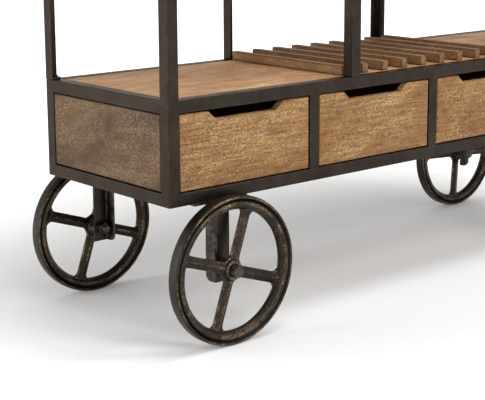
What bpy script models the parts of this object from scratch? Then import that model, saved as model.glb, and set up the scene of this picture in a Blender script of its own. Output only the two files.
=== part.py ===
"""Bar cart on four cast-iron wheels.

A welded steel base holds four wooden drawers under a wooden deck. Eight angle-iron posts carry a
steel frame with a wooden top, and slats on the middle of the deck hold lying bottles. The wheels
turn on stub axles that are bolted through angle-iron legs.

Metres, +Z up. The origin is on the floor under the middle of the cart, the front faces -Y.
"""
import math

import bmesh
import bpy
from mathutils import Matrix, Vector

# Driving dimensions
length = 1.450
depth = 0.410
overall_height = 0.950
base_height = 0.200
wheel_radius = 0.146
base_clearance = 0.280
tube = 0.025
board = 0.018
gap = 0.0003
weld_overlap = 0.001

# Drawers
drawer_count = 4
front_reveal = 0.002
front_setback = 0.001
tray_wall = 0.012
tray_height = 0.105
tray_depth = 0.350
tray_side_play = 0.004
runner_width = 0.013
runner_thickness = 0.003
runner_lift = 0.007
notch_top = 0.190
notch_floor = 0.152
notch_drop = 0.017

# Wooden panels and bottle rack
panel_thickness = 0.015
panel_setback = 0.0015
panel_reveal = 0.0015
slat_count = 9
slat_width = 0.018
slat_height = 0.020
slat_end_clearance = 0.030
rack_half_width = 0.2515

# Upper posts
angle_wall = 0.003
foot_plate = 0.004
foot_inset = 0.001

# Wheels, axles and legs
wheel_inset = 0.125
wheel_standoff = 0.0305
rim_half_width = 0.013
rim_inner_radius = 0.118
rim_inner_slope = (0.012, 0.005)
tread_edge = (0.003, 0.004)
spoke_width = 0.022
spoke_thickness = 0.014
spoke_set_in = 0.004
spoke_root = 0.006
hub_radius = 0.020
hub_half_width = 0.011
axle_radius = 0.0115
axle_play = 0.0003
axle_proud = 0.020
axle_chamfer = 0.001
collar_radius = 0.017
stud_radius = 0.008
stud_reach = 0.025
nut_radius = 0.0139
nut_thickness = 0.013
leg_web = 0.036
leg_flange = 0.028
leg_wall = 0.004
leg_drop = 0.029
leg_corner_radius = 0.013
leg_plate_length = 0.130
leg_plate_width = 0.060
leg_plate_thickness = 0.005
wheel_sides = 48
facet = 2 * math.pi / wheel_sides

# How far each wheel has rolled, in facets of its tread. The half facets stand every wheel on a flat.
rest_facets = {"front_left": 2.5, "front_right": -3.5, "rear_left": 2.5, "rear_right": 0.5}

# Worked out from the dimensions above
half_length = length / 2
half_depth = depth / 2
inner_half_length = half_length - tube
inner_half_depth = half_depth - tube
base_top = base_clearance + base_height
opening_low = base_clearance + tube
opening_high = base_top - tube
opening_width = (length - (drawer_count + 1) * tube) / drawer_count
top_low = overall_height - tube
runner_low = opening_low + runner_lift
tray_low = runner_low + runner_thickness + gap


def clear_scene():
    for obj in list(bpy.data.objects):
        bpy.data.objects.remove(obj)


def new_collection(name):
    collection = bpy.data.collections.new(name)
    bpy.context.scene.collection.children.link(collection)
    return collection


def make_material(name, colour, roughness, metallic):
    material = bpy.data.materials.new(name)
    material.use_nodes = True
    shader = material.node_tree.nodes["Principled BSDF"]
    shader.inputs["Base Color"].default_value = (*colour, 1.0)
    shader.inputs["Roughness"].default_value = roughness
    shader.inputs["Metallic"].default_value = metallic
    return material


clear_scene()
cart = new_collection("bar_cart")
cutters = new_collection("cutters")
cutters.hide_render = True

frame_steel = make_material("frame_steel", (0.055, 0.047, 0.041), 0.45, 0.9)
leg_steel = make_material("leg_steel", (0.060, 0.052, 0.046), 0.40, 0.9)
cast_iron = make_material("cast_iron", (0.085, 0.068, 0.050), 0.50, 0.9)
axle_steel = make_material("axle_steel", (0.20, 0.18, 0.17), 0.40, 1.0)
drawer_wood = make_material("drawer_wood", (0.45, 0.25, 0.12), 0.55, 0.0)
deck_wood = make_material("deck_wood", (0.48, 0.30, 0.18), 0.50, 0.0)
panel_wood = make_material("panel_wood", (0.20, 0.12, 0.075), 0.60, 0.0)
tray_wood = make_material("tray_wood", (0.30, 0.20, 0.12), 0.70, 0.0)


# ---- building blocks

def mesh_from(bm, name):
    mesh = bpy.data.meshes.new(name)
    bm.to_mesh(mesh)
    bm.free()
    return mesh


def place(name, mesh, material, collection, location=(0, 0, 0), parent=None):
    """Puts a mesh into the scene as an object, with its material."""
    obj = bpy.data.objects.new(name, mesh)
    if material and not mesh.materials:
        mesh.materials.append(material)
    obj.location = location
    obj.parent = parent
    collection.objects.link(obj)
    if collection is cutters:
        obj.hide_render = True
        obj.display_type = "WIRE"
    return obj


def cube(size):
    bm = bmesh.new()
    bmesh.ops.create_cube(bm, size=1.0, matrix=Matrix.Diagonal((*size, 1.0)))
    return bm


def block(name, low, high, material, collection=None, parent=None):
    """A box between two corners. Its origin is at its middle."""
    low, high = Vector(low), Vector(high)
    mesh = mesh_from(cube(high - low), name)
    return place(name, mesh, material, collection or cart, (low + high) / 2, parent)


def cylinder(name, radius, height, sides, axis="Z", location=(0, 0, 0)):
    quarter = math.pi / 2
    turn = {"X": Matrix.Rotation(quarter, 4, "Y"), "Y": Matrix.Rotation(quarter, 4, "X"), "Z": Matrix()}
    bm = bmesh.new()
    bmesh.ops.create_cone(
        bm, cap_ends=True, segments=sides, radius1=radius, radius2=radius, depth=height, matrix=turn[axis]
    )
    return place(name, mesh_from(bm, name), None, cutters, location)


def combine(target, tool, operation):
    """Adds a Boolean of one helper to a part."""
    modifier = target.modifiers.new(f"{operation.lower()} {tool.name}", "BOOLEAN")
    modifier.operation = operation
    modifier.object = tool
    modifier.solver = "EXACT"


def turned(name, outline, material, collection, sides):
    """A turned shape about local Z. The outline is (radius, height) pairs that run top to bottom at +X."""
    bm = bmesh.new()
    points = [bm.verts.new((radius, 0.0, height)) for radius, height in outline]
    for first, second in zip(points, points[1:]):
        bm.edges.new((first, second))
    obj = place(name, mesh_from(bm, name), material, collection)
    screw = obj.modifiers.new("turn", "SCREW")
    screw.steps = screw.render_steps = sides
    screw.use_merge_vertices = True
    screw.merge_threshold = 0.0001
    screw.use_smooth_shade = False
    return obj


def finished_mesh(obj, name, turn):
    """The mesh of an object with its modifiers applied, turned into place. The helper is removed."""
    bpy.context.view_layer.update()
    graph = bpy.context.evaluated_depsgraph_get()
    mesh = bpy.data.meshes.new_from_object(obj.evaluated_get(graph))
    mesh.name = name
    mesh.transform(turn)
    mesh.shade_smooth()
    mesh.set_sharp_from_angle(angle=math.radians(30))
    bpy.data.objects.remove(obj)
    return mesh


# ---- base frame

def make_end_frame(name, side):
    """A welded hoop of square tube at one end of the base, with the ledge that the end drawer slides on."""
    outer, inner = side * half_length, side * inner_half_length
    low_x, high_x = min(outer, inner), max(outer, inner)
    hoop = block(name, (low_x, -half_depth, base_clearance), (high_x, half_depth, base_top), frame_steel)
    window = block(
        f"{name}_window",
        (low_x - tube, -inner_half_depth, opening_low), (high_x + tube, inner_half_depth, opening_high),
        None, cutters,
    )
    combine(hoop, window, "DIFFERENCE")
    ledge_outer = side * (half_length - panel_setback - panel_thickness - weld_overlap)
    ledge_inner = inner - side * runner_width
    ledge = block(
        f"{name}_ledge",
        (min(ledge_outer, ledge_inner), -inner_half_depth - weld_overlap, runner_low),
        (max(ledge_outer, ledge_inner), inner_half_depth + weld_overlap, runner_low + runner_thickness),
        None, cutters,
    )
    combine(hoop, ledge, "UNION")


def make_divider_frame(name, x):
    """A front post and a rear post between two drawers, joined by the ledge that both drawers slide on."""
    low, high = opening_low + gap, opening_high - gap
    left, right = x - tube / 2, x + tube / 2
    front = block(name, (left, -half_depth, low), (right, -inner_half_depth, high), frame_steel)
    rear = block(
        f"{name}_rear", (left, inner_half_depth, low), (right, half_depth, high), None, cutters
    )
    reach = tube / 2 + runner_width
    ledge = block(
        f"{name}_ledge",
        (x - reach, -inner_half_depth - weld_overlap, runner_low),
        (x + reach, inner_half_depth + weld_overlap, runner_low + runner_thickness),
        None, cutters,
    )
    combine(front, ledge, "UNION")
    combine(front, rear, "UNION")


def make_base():
    make_end_frame("base_end_frame_left", -1)
    make_end_frame("base_end_frame_right", 1)
    reach = inner_half_length - gap
    for level, low in (("bottom", base_clearance), ("top", opening_high)):
        for face, y in (("front", -half_depth), ("rear", inner_half_depth)):
            block(f"base_rail_{level}_{face}", (-reach, y, low), (reach, y + tube, low + tube), frame_steel)
    pitch = opening_width + tube
    for index in range(1, drawer_count):
        make_divider_frame(f"drawer_divider_{index}", -half_length + index * pitch + tube / 2)


# ---- wooden panels, deck and bottle rack

def make_panels():
    reach_y = inner_half_depth - panel_reveal
    low, high = opening_low + panel_reveal, opening_high - panel_reveal
    for name, side in (("end_panel_left", -1), ("end_panel_right", 1)):
        outer = side * (half_length - panel_setback)
        inner = outer - side * panel_thickness
        block(name, (min(outer, inner), -reach_y, low), (max(outer, inner), reach_y, high), panel_wood)
    outer = half_depth - panel_setback
    for index in range(drawer_count):
        left = opening_left(index) + panel_reveal
        right = left + opening_width - 2 * panel_reveal
        name = f"back_panel_{index + 1}"
        block(name, (left, outer - panel_thickness, low), (right, outer, high), panel_wood)


def make_deck():
    reach_x, reach_y = inner_half_length - panel_reveal, inner_half_depth - panel_reveal
    for name, high in (("deck_board", base_top - gap), ("top_board", overall_height - gap)):
        block(name, (-reach_x, -reach_y, high - board), (reach_x, reach_y, high), deck_wood)


def make_bottle_slats():
    pitch = (2 * rack_half_width - slat_width) / (slat_count - 1)
    reach = half_depth - slat_end_clearance
    for index in range(slat_count):
        left = -rack_half_width + index * pitch
        low, high = base_top + gap, base_top + gap + slat_height
        name = f"bottle_slat_{index + 1}"
        block(name, (left, -reach, low), (left + slat_width, reach, high), deck_wood)


# ---- drawers

def opening_left(index):
    return -inner_half_length + index * (opening_width + tube)


def make_drawer(index):
    """A front with a finger notch, and an open tray behind it, on one empty at the front's middle."""
    number = index + 1
    left = opening_left(index)
    middle = left + opening_width / 2
    slide = bpy.data.objects.new(f"drawer_{number}_slide", None)
    slide.location = (middle, -half_depth, (opening_low + opening_high) / 2)
    cart.objects.link(slide)

    half_width = opening_width / 2 - front_reveal
    half_front = (opening_high - opening_low) / 2 - front_reveal
    front = block(
        f"drawer_front_{number}",
        (-half_width, front_setback, -half_front), (half_width, front_setback + board, half_front),
        drawer_wood, parent=slide,
    )
    notch = cube((notch_floor, 3 * board, 2 * notch_drop))
    slope = (notch_top - notch_floor) / 2 / notch_drop
    for vert in notch.verts:
        if vert.co.z > 0:
            vert.co.x += math.copysign(slope * 2 * notch_drop, vert.co.x)
    cutter = place(f"drawer_notch_{number}", mesh_from(notch, f"drawer_notch_{number}"), None, cutters)
    cutter.parent = slide
    cutter.location = (0, front_setback + board / 2, half_front)
    combine(front, cutter, "DIFFERENCE")

    tray_width = opening_width - 2 * tray_side_play
    tray = cube((tray_width, tray_depth, tray_height))
    lid = max(tray.faces, key=lambda face: face.calc_center_median().z)
    bmesh.ops.delete(tray, geom=[lid], context="FACES_ONLY")
    tray_object = place(f"drawer_tray_{number}", mesh_from(tray, f"drawer_tray_{number}"), tray_wood, cart)
    tray_object.parent = slide
    tray_object.location = (
        0,
        front_setback + board + gap + tray_depth / 2,
        tray_low + tray_height / 2 - slide.location.z,
    )
    walls = tray_object.modifiers.new("walls", "SOLIDIFY")
    walls.thickness = tray_wall
    walls.offset = -1
    walls.use_even_offset = True


# ---- upper posts and top frame

def angle_mesh(name, height):
    """An L of angle iron, its outer corner on local Z and its flanges along +X and +Y."""
    bm = bmesh.new()
    path = [bm.verts.new(point) for point in ((tube, 0, 0), (0, 0, 0), (0, tube, 0))]
    edges = [bm.edges.new(pair) for pair in zip(path, path[1:])]
    raised = bmesh.ops.extrude_edge_only(bm, edges=edges)["geom"]
    upper = [part for part in raised if isinstance(part, bmesh.types.BMVert)]
    bmesh.ops.translate(bm, vec=(0, 0, height), verts=upper)
    bmesh.ops.recalc_face_normals(bm, faces=bm.faces)
    bm.faces.ensure_lookup_table()
    first = bm.faces[0]
    if (first.calc_center_median() - Vector((tube, tube, height / 2))).dot(first.normal) < 0:
        bmesh.ops.reverse_faces(bm, faces=bm.faces)
    return mesh_from(bm, name)


def make_post(name, corner_x, corner_y, along_x, along_y):
    """An angle-iron post with a small foot plate in its corner, standing on the base frame."""
    low, high = base_top + gap, top_low - gap
    post = place(name, angle_mesh(name, high - low), frame_steel, cart, (corner_x, corner_y, low))
    turn = {(1, 1): 0, (-1, 1): 90, (-1, -1): 180, (1, -1): 270}[(along_x, along_y)]
    post.rotation_euler.z = math.radians(turn)
    wall = post.modifiers.new("wall", "SOLIDIFY")
    wall.thickness = angle_wall
    wall.offset = -1
    wall.use_even_offset = True
    reach = tube - foot_inset
    foot = block(
        f"{name}_foot", (foot_inset, foot_inset, 0), (reach, reach, foot_plate), None, cutters, post
    )
    combine(post, foot, "UNION")


def make_upper_frame():
    for face, y, along_y in (("front", -half_depth, 1), ("rear", half_depth, -1)):
        for end, side in (("left", -1), ("right", 1)):
            make_post(f"corner_post_{face}_{end}", side * half_length, y, -side, along_y)
            make_post(f"middle_post_{face}_{end}", side * rack_half_width, y, -side, along_y)
    low, high = top_low, overall_height
    reach = half_depth
    for end, x in (("left", -half_length), ("right", inner_half_length)):
        block(f"top_rail_{end}", (x, -reach, low), (x + tube, reach, high), frame_steel)
    reach = inner_half_length - gap
    for face, y in (("front", -half_depth), ("rear", inner_half_depth)):
        block(f"top_rail_{face}", (-reach, y, low), (reach, y + tube, high), frame_steel)


# ---- legs, axles and wheels

def make_leg(name, x, facing, flange_side):
    """An angle-iron leg under a mounting plate, its web flush with the frame, its flange inwards."""
    empty = bpy.data.objects.new(f"{name}_foot", None)
    empty.location = (x, facing * half_depth, wheel_radius)
    cart.objects.link(empty)
    plate_high = base_clearance - gap - wheel_radius
    plate_low = plate_high - leg_plate_thickness

    def span(first, second):
        return min(first, second), max(first, second)

    back = -facing
    top = plate_low + weld_overlap
    web_y = span(0, back * leg_wall)
    web = block(
        name,
        (-leg_web / 2, web_y[0], -leg_drop), (leg_web / 2, web_y[1], top),
        leg_steel, parent=empty,
    )
    flange_x = span(flange_side * leg_web / 2, flange_side * (leg_web / 2 - leg_wall))
    flange_y = span(0, back * leg_flange)
    flange = block(
        f"{name}_flange",
        (flange_x[0], flange_y[0], -leg_drop), (flange_x[1], flange_y[1], top),
        None, cutters, empty,
    )
    bm = bmesh.new()
    bm.from_mesh(flange.data)
    corner = [
        edge for edge in bm.edges
        if all(v.co.z < 0 and v.co.y * back > 0 for v in edge.verts)
    ]
    bmesh.ops.bevel(bm, geom=corner, offset=leg_corner_radius, segments=4, profile=0.5, affect="EDGES")
    bm.to_mesh(flange.data)
    bm.free()
    plate_y = span(back * weld_overlap, back * (weld_overlap + leg_plate_width))
    plate = block(
        f"{name}_plate",
        (-leg_plate_length / 2, plate_y[0], plate_low), (leg_plate_length / 2, plate_y[1], plate_high),
        None, cutters, empty,
    )
    hole = cylinder(f"{name}_hole", stud_radius + gap, 6 * leg_wall, 24, "Y")
    hole.parent = empty
    combine(web, flange, "UNION")
    combine(web, plate, "UNION")
    combine(web, hole, "DIFFERENCE")


def axle_mesh():
    """Stub axle: a bar for the hub, a collar against the leg, and a stud with a nut inside the leg."""
    end = wheel_standoff + axle_proud
    collar = wheel_standoff - spoke_set_in - hub_half_width - gap
    outline = [
        (0.0, end), (axle_radius - axle_chamfer, end), (axle_radius, end - axle_chamfer),
        (axle_radius, collar), (collar_radius, collar), (collar_radius, gap),
        (stud_radius, gap), (stud_radius, -stud_reach), (0.0, -stud_reach),
    ]
    shaft = turned("axle_shape", outline, axle_steel, cutters, 24)
    nut_middle = -(leg_wall + gap + nut_thickness / 2)
    nut = cylinder("axle_nut", nut_radius, nut_thickness, 6, "Z", (0, 0, nut_middle))
    combine(shaft, nut, "UNION")
    return finished_mesh(shaft, "axle", Matrix.Rotation(math.pi / 2, 4, "X"))


def wheel_mesh():
    """Cast wheel: a rim, four roof-shaped spokes and a bored hub. Its outer face is at -Y."""
    tread = wheel_radius / math.cos(facet / 2)
    shoulder, tread_half = tread - tread_edge[0], rim_half_width - tread_edge[1]
    band, band_half = rim_inner_radius + rim_inner_slope[0], rim_half_width - rim_inner_slope[1]
    outline = [
        (shoulder, rim_half_width), (tread, tread_half), (tread, -tread_half), (shoulder, -rim_half_width),
        (band, -rim_half_width), (rim_inner_radius, -band_half),
        (rim_inner_radius, band_half), (band, rim_half_width), (shoulder, rim_half_width),
    ]
    rim = turned("wheel_shape", outline, cast_iron, cutters, wheel_sides)
    hub = cylinder("wheel_hub", hub_radius, 2 * hub_half_width, 24, "Z", (0, 0, -spoke_set_in))
    combine(rim, hub, "UNION")
    span = 2 * (rim_inner_radius + spoke_root)
    for index in range(2):
        spoke = cylinder(f"wheel_spokes_{index + 1}", 1.0, span, 6, "X", (0, 0, -spoke_set_in))
        flat = math.cos(math.pi / 6)
        turn = Matrix.Rotation(index * math.pi / 2, 4, "Z")
        roof = Matrix.Diagonal((1.0, spoke_width / 2 / flat, spoke_thickness / 2, 1.0))
        ridge_up = ridge_turn(spoke.data)
        spoke.data.transform(turn @ roof @ ridge_up)
        combine(rim, spoke, "UNION")
    bore = cylinder("wheel_bore", axle_radius + axle_play, 6 * hub_half_width, 24)
    combine(rim, bore, "DIFFERENCE")
    return finished_mesh(rim, "wheel", Matrix.Rotation(math.pi / 2, 4, "X"))


def ridge_turn(mesh):
    """Turns a six-sided bar about X until two of its edges lie on the Z axis."""
    top = max((vert.co for vert in mesh.vertices), key=lambda co: co.z)
    return Matrix.Rotation(math.atan2(top.y, top.z), 4, "X")


def make_running_gear():
    wheel, axle = wheel_mesh(), axle_mesh()
    for face, facing in (("front", -1), ("rear", 1)):
        for end, side in (("left", -1), ("right", 1)):
            corner = f"{face}_{end}"
            x = side * (half_length - wheel_inset)
            make_leg(f"leg_{corner}", x, facing, side * -facing)
            outward = Matrix.Rotation(0 if facing < 0 else math.pi, 4, "Z")
            seat = Matrix.Translation((x, facing * half_depth, wheel_radius)) @ outward
            place(f"axle_{corner}", axle, axle_steel, cart).matrix_world = seat
            centre = Matrix.Translation((x, facing * (half_depth + wheel_standoff), wheel_radius))
            rest = Matrix.Rotation(rest_facets[corner] * facet, 4, "Y")
            place(f"wheel_{corner}", wheel, cast_iron, cart).matrix_world = centre @ rest @ outward


make_base()
make_panels()
make_deck()
make_bottle_slats()
for drawer_index in range(drawer_count):
    make_drawer(drawer_index)
make_upper_frame()
make_running_gear()
bpy.context.view_layer.update()
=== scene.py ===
# A bar cart on cast-iron wheels: welded tube base, four wooden drawers, deck with bottle slats, upper frame.
import math
import bmesh
import bpy
from mathutils import Matrix, Vector, noise


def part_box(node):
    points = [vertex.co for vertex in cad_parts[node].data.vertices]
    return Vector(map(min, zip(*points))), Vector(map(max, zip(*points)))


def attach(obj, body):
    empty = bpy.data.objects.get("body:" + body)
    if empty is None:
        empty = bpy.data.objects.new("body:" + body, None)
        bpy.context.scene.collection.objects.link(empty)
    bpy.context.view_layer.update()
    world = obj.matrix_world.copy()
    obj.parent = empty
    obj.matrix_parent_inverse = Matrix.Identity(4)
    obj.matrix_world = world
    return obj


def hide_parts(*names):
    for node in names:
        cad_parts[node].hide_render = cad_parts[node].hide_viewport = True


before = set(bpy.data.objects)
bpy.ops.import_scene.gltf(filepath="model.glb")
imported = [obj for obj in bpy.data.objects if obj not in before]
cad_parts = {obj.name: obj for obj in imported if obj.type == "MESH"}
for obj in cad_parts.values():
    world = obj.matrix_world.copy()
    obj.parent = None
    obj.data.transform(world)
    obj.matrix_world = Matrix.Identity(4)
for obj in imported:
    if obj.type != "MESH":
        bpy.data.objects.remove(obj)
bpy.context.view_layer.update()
print("cart loaded")


# Node helpers

def addNode(tree, kind, options=None, **inputs):
    node = tree.nodes.new("ShaderNode" + kind)
    for key, value in (options or {}).items():
        setattr(node, key, value)
    for key, value in inputs.items():
        socket = node.inputs[key.replace("_", " ")]
        if isinstance(value, bpy.types.NodeSocket):
            tree.links.new(value, socket)
        else:
            socket.default_value = value
    return node


def startMaterial(name, metallic, specular=0.5):
    material = bpy.data.materials.new(name)
    material.use_nodes = True
    tree = material.node_tree
    shader = tree.nodes["Principled BSDF"]
    shader.inputs["Metallic"].default_value = metallic
    shader.inputs["Specular IOR Level"].default_value = specular
    return material, tree, shader, addNode(tree, "TexCoord").outputs["Object"]


def grainNoise(tree, place, stretch, detail=3.0, roughness=0.5, distortion=0.0, shift=(0, 0, 0)):
    mapping = addNode(tree, "Mapping", Vector=place, Scale=stretch, Location=shift)     # features per metre
    texture = addNode(tree, "TexNoise", Vector=mapping.outputs[0], Scale=1.0, Detail=detail,
                      Roughness=roughness, Distortion=distortion)
    return texture.outputs["Fac"]


def evenNoise(tree, place, density, *rest):     # the same in every direction
    return grainNoise(tree, place, (density,) * 3, *rest)


def between(tree, value, low, high, start=0.0, end=1.0, smooth=False):
    options = {"interpolation_type": "SMOOTHSTEP" if smooth else "LINEAR"}
    node = addNode(tree, "MapRange", options, Value=value, From_Min=low, From_Max=high,
                   To_Min=start, To_Max=end)
    return node.outputs["Result"]


def tones(tree, value, stops):
    node = addNode(tree, "ValToRGB", Fac=value)
    ramp = node.color_ramp
    while len(ramp.elements) < len(stops):
        ramp.elements.new(0.5)
    for element, (position, colour) in zip(ramp.elements, stops):
        element.position = position
        element.color = (*colour, 1.0)
    return node.outputs["Color"]


def blended(tree, factor, first, second):
    node = addNode(tree, "Mix", {"data_type": "RGBA"})
    for index, value in ((0, factor), (6, first), (7, second)):     # the node's sockets for colours
        if isinstance(value, bpy.types.NodeSocket):
            tree.links.new(value, node.inputs[index])
        else:
            node.inputs[index].default_value = value if index == 0 else (*value, 1.0)
    return node.outputs[2]


def worked(tree, operation, first, second=0.0):
    node = addNode(tree, "Math", {"operation": operation})
    for socket, value in zip(node.inputs, (first, second)):
        if isinstance(value, bpy.types.NodeSocket):
            tree.links.new(value, socket)
        else:
            socket.default_value = value
    return node.outputs[0]


def weighed(tree, *parts):      # the sum of (value, weight) pairs
    products = [worked(tree, "MULTIPLY", value, weight) for value, weight in parts]
    total = products[0]
    for product in products[1:]:
        total = worked(tree, "ADD", total, product)
    return total


def attribute(tree, name):
    return addNode(tree, "Attribute", {"attribute_name": name}).outputs["Fac"]


def raised(tree, shader, heights):      # stacks bumps of (height, strength, distance)
    normal = None
    for height, strength, distance in heights:
        bump = addNode(tree, "Bump", Height=height, Strength=strength, Distance=distance)
        if normal:
            tree.links.new(normal, bump.inputs["Normal"])
        normal = bump.outputs["Normal"]
    tree.links.new(normal, shader.inputs["Normal"])


# Camera, floor and lamps

camera = {
    "place": (-2.156, -2.084, 0.856),
    "yaw": 40.568,          # degrees to the right of straight ahead
    "down": 11.228,
    "roll": -0.307,
    "lens": 97.63,
    "rise": -0.10,          # vertical shift
    "farthest": 100.0,
}

studio = {
    "skyLight": 0.50,       # what the surroundings give as light
    "ceiling": (0.14, 0.80),        # heights between which the backdrop darkens, as glossy surfaces see it
    "ceilingLevel": 0.35,
    "floorTone": (0.86, 0.86, 0.855),
    "floorRoughness": 0.6,
    "floorSpecular": 0.1,
    "floorGlow": (0.09, 1.0),       # near the cart and far from it, as the camera and glossy surfaces see it
    "floorFade": (0.55, 2.0),
    "floorSize": 60.0,
    "lamps": {
        "overhead": {"place": (0.1, -0.70, 3.1), "aim": (0.0, 0.05, 0.3), "size": (2.4, 1.0), "power": 35.0},
        "front": {"place": (-0.2, -3.7, 2.1), "aim": (0.0, 0.0, 0.35), "size": (1.5, 1.1), "power": 47.0},
        "key": {"place": (1.35, -2.3, 2.45), "aim": (-0.4, -0.2, 0.2), "size": (0.8, 0.8), "power": 26.0},
        "left": {"place": (-3.0, 1.1, 1.0), "aim": (-0.5, 0.0, 0.35), "size": (0.9, 1.4), "power": 23.0},
    },
}


def makeCamera():
    data = bpy.data.cameras.new("camera")
    data.lens = camera["lens"]
    data.shift_y = camera["rise"]
    data.clip_end = camera["farthest"]
    viewer = bpy.data.objects.new("camera", data)
    bpy.context.scene.collection.objects.link(viewer)
    yaw, down = math.radians(camera["yaw"]), math.radians(camera["down"])
    ahead = Vector((math.sin(yaw) * math.cos(down), math.cos(yaw) * math.cos(down), -math.sin(down)))
    turn = ahead.to_track_quat("-Z", "Y").to_matrix().to_4x4()
    roll = Matrix.Rotation(math.radians(camera["roll"]), 4, "Z")
    viewer.matrix_world = Matrix.Translation(camera["place"]) @ turn @ roll
    bpy.context.scene.camera = viewer


def makeLamps():
    for name, lamp in studio["lamps"].items():
        data = bpy.data.lights.new(name, "AREA")
        data.shape = "RECTANGLE"
        data.size, data.size_y = lamp["size"]
        data.energy = lamp["power"]
        light = bpy.data.objects.new(name, data)
        bpy.context.scene.collection.objects.link(light)
        aim = Vector(lamp["aim"]) - Vector(lamp["place"])
        turn = aim.to_track_quat("-Z", "Y").to_matrix().to_4x4()
        light.matrix_world = Matrix.Translation(lamp["place"]) @ turn


def seenDirectly(tree):     # 1 for what the camera, a gloss or a clear material looks at
    rays = addNode(tree, "LightPath").outputs
    camOrGloss = worked(tree, "MAXIMUM", rays["Is Camera Ray"], rays["Is Glossy Ray"])
    return worked(tree, "MAXIMUM", camOrGloss, rays["Is Transmission Ray"])


def makeBackdrop():
    world = bpy.data.worlds.new("studio")
    world.use_nodes = True
    bpy.context.scene.world = world
    tree = world.node_tree
    backdrop = tree.nodes["Background"]
    backdrop.inputs["Color"].default_value = (1.0, 1.0, 1.0, 1.0)
    direction = addNode(tree, "TexCoord").outputs["Generated"]
    height = addNode(tree, "SeparateXYZ", Vector=direction).outputs["Z"]
    seen = between(tree, height, *studio["ceiling"], 1.0, studio["ceilingLevel"], smooth=True)
    level = between(tree, seenDirectly(tree), 0.0, 1.0, studio["skyLight"], seen)
    tree.links.new(level, backdrop.inputs["Strength"])


def makeFloor():
    material, tree, shader, place = startMaterial("studioFloor", 0.0, studio["floorSpecular"])
    shader.inputs["Base Color"].default_value = (*studio["floorTone"], 1.0)
    shader.inputs["Roughness"].default_value = studio["floorRoughness"]
    shader.inputs["Emission Color"].default_value = (1.0, 1.0, 1.0, 1.0)
    away = addNode(tree, "VectorMath", {"operation": "LENGTH"}, Vector=place).outputs["Value"]
    glow = between(tree, away, *studio["floorFade"], *studio["floorGlow"], smooth=True)
    tree.links.new(worked(tree, "MULTIPLY", seenDirectly(tree), glow), shader.inputs["Emission Strength"])
    bm = bmesh.new()
    bmesh.ops.create_grid(bm, x_segments=1, y_segments=1, size=studio["floorSize"] / 2)
    mesh = bpy.data.meshes.new("studioFloor")
    bm.to_mesh(mesh)
    bm.free()
    mesh.materials.append(material)
    floor = bpy.data.objects.new("studioFloor", mesh)
    bpy.context.scene.collection.objects.link(floor)


bpy.context.scene.view_settings.view_transform = "Standard"
makeCamera()
makeLamps()
makeBackdrop()
makeFloor()
print("studio set")


# Wood

woods = {       # "warm" is the hue that some patches lean to, "contrast" how strong flecks and pores are
    "drawerWood": {
        "light": (0.80, 0.465, 0.185), "middle": (0.59, 0.310, 0.108), "dark": (0.33, 0.160, 0.055),
        "pore": (0.110, 0.048, 0.015), "fleck": (1.0, 0.80, 0.46), "warm": (0.56, 0.240, 0.065),
        "along": 0, "slant": 16.0, "stave": 0.0, "contrast": 1.0, "smoke": 0.50, "roughness": 0.50,
        "specular": 0.22,
    },
    "deckWood": {
        "light": (0.74, 0.450, 0.225), "middle": (0.54, 0.300, 0.134), "dark": (0.34, 0.178, 0.077),
        "pore": (0.27, 0.135, 0.058), "fleck": (0.90, 0.68, 0.42), "warm": (0.58, 0.290, 0.112),
        "along": 0, "slant": 4.0, "stave": 0.097, "contrast": 0.38, "smoke": 0.40, "roughness": 0.50,
        "specular": 0.13,
    },
    # darker than the deck: the slats' own tone plus painted shade from the bottles that lie across them
    "slatWoodShaded": {
        "light": (0.38, 0.230, 0.110), "middle": (0.265, 0.150, 0.068), "dark": (0.155, 0.080, 0.036),
        "pore": (0.075, 0.037, 0.017), "fleck": (0.60, 0.42, 0.24), "warm": (0.28, 0.130, 0.046),
        "along": 1, "slant": 2.0, "stave": 0.0, "contrast": 0.6, "smoke": 0.35, "roughness": 0.55,
        "specular": 0.22,
    },
    # darker and greyer than the drawer wood: partly the end panels' own tone, partly painted shade of the
    # cart's shaded ends
    "endWood": {
        "light": (0.205, 0.120, 0.055), "middle": (0.132, 0.073, 0.032), "dark": (0.068, 0.037, 0.017),
        "pore": (0.046, 0.026, 0.014), "fleck": (0.56, 0.43, 0.28), "warm": (0.165, 0.080, 0.034),
        "along": 1, "slant": 12.0, "stave": 0.0, "contrast": 0.55, "smoke": 0.65, "roughness": 0.55,
        "specular": 0.20,
    },
    "backWood": {
        "light": (0.40, 0.250, 0.125), "middle": (0.29, 0.172, 0.082), "dark": (0.17, 0.092, 0.044),
        "pore": (0.09, 0.046, 0.023), "fleck": (0.62, 0.46, 0.27), "warm": (0.29, 0.140, 0.052),
        "along": 0, "slant": 12.0, "stave": 0.0, "contrast": 0.85, "smoke": 0.50, "roughness": 0.55,
        "specular": 0.22,
    },
    "trayWood": {
        "light": (0.40, 0.285, 0.175), "middle": (0.31, 0.21, 0.125), "dark": (0.21, 0.135, 0.078),
        "pore": (0.14, 0.085, 0.05), "fleck": (0.52, 0.40, 0.27), "warm": (0.30, 0.185, 0.10),
        "along": 0, "slant": 3.0, "stave": 0.0, "contrast": 0.4, "smoke": 0.20, "roughness": 0.68,
        "specular": 0.22,
    },
}

woodGrain = {       # features per metre along and across the grain, detail, roughness, swirl, shift
    "figure": (5.5, 24.0, 5.0, 0.62, 1.8),
    "ripple": (30.0, 80.0, 3.0, 0.6, 1.2, (1.0, 6.0, 2.0)),
    "streak": (14.0, 230.0, 4.0, 0.6, 0.6),
    "fibre": (70.0, 1500.0, 2.0, 0.5),
    "pore": (210.0, 520.0, 2.0, 0.6, 0.5),
    "fleck": (250.0, 560.0, 2.0, 0.6, 0.6, (3.1, 1.7, 5.3)),
    "smoke": (6.0, 12.0, 4.0, 0.6, 1.2, (7.0, 2.0, 4.0)),
    "hue": (5.0, 13.0, 4.0, 0.62, 1.5, (1.3, 8.0, 3.0)),
}

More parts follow.
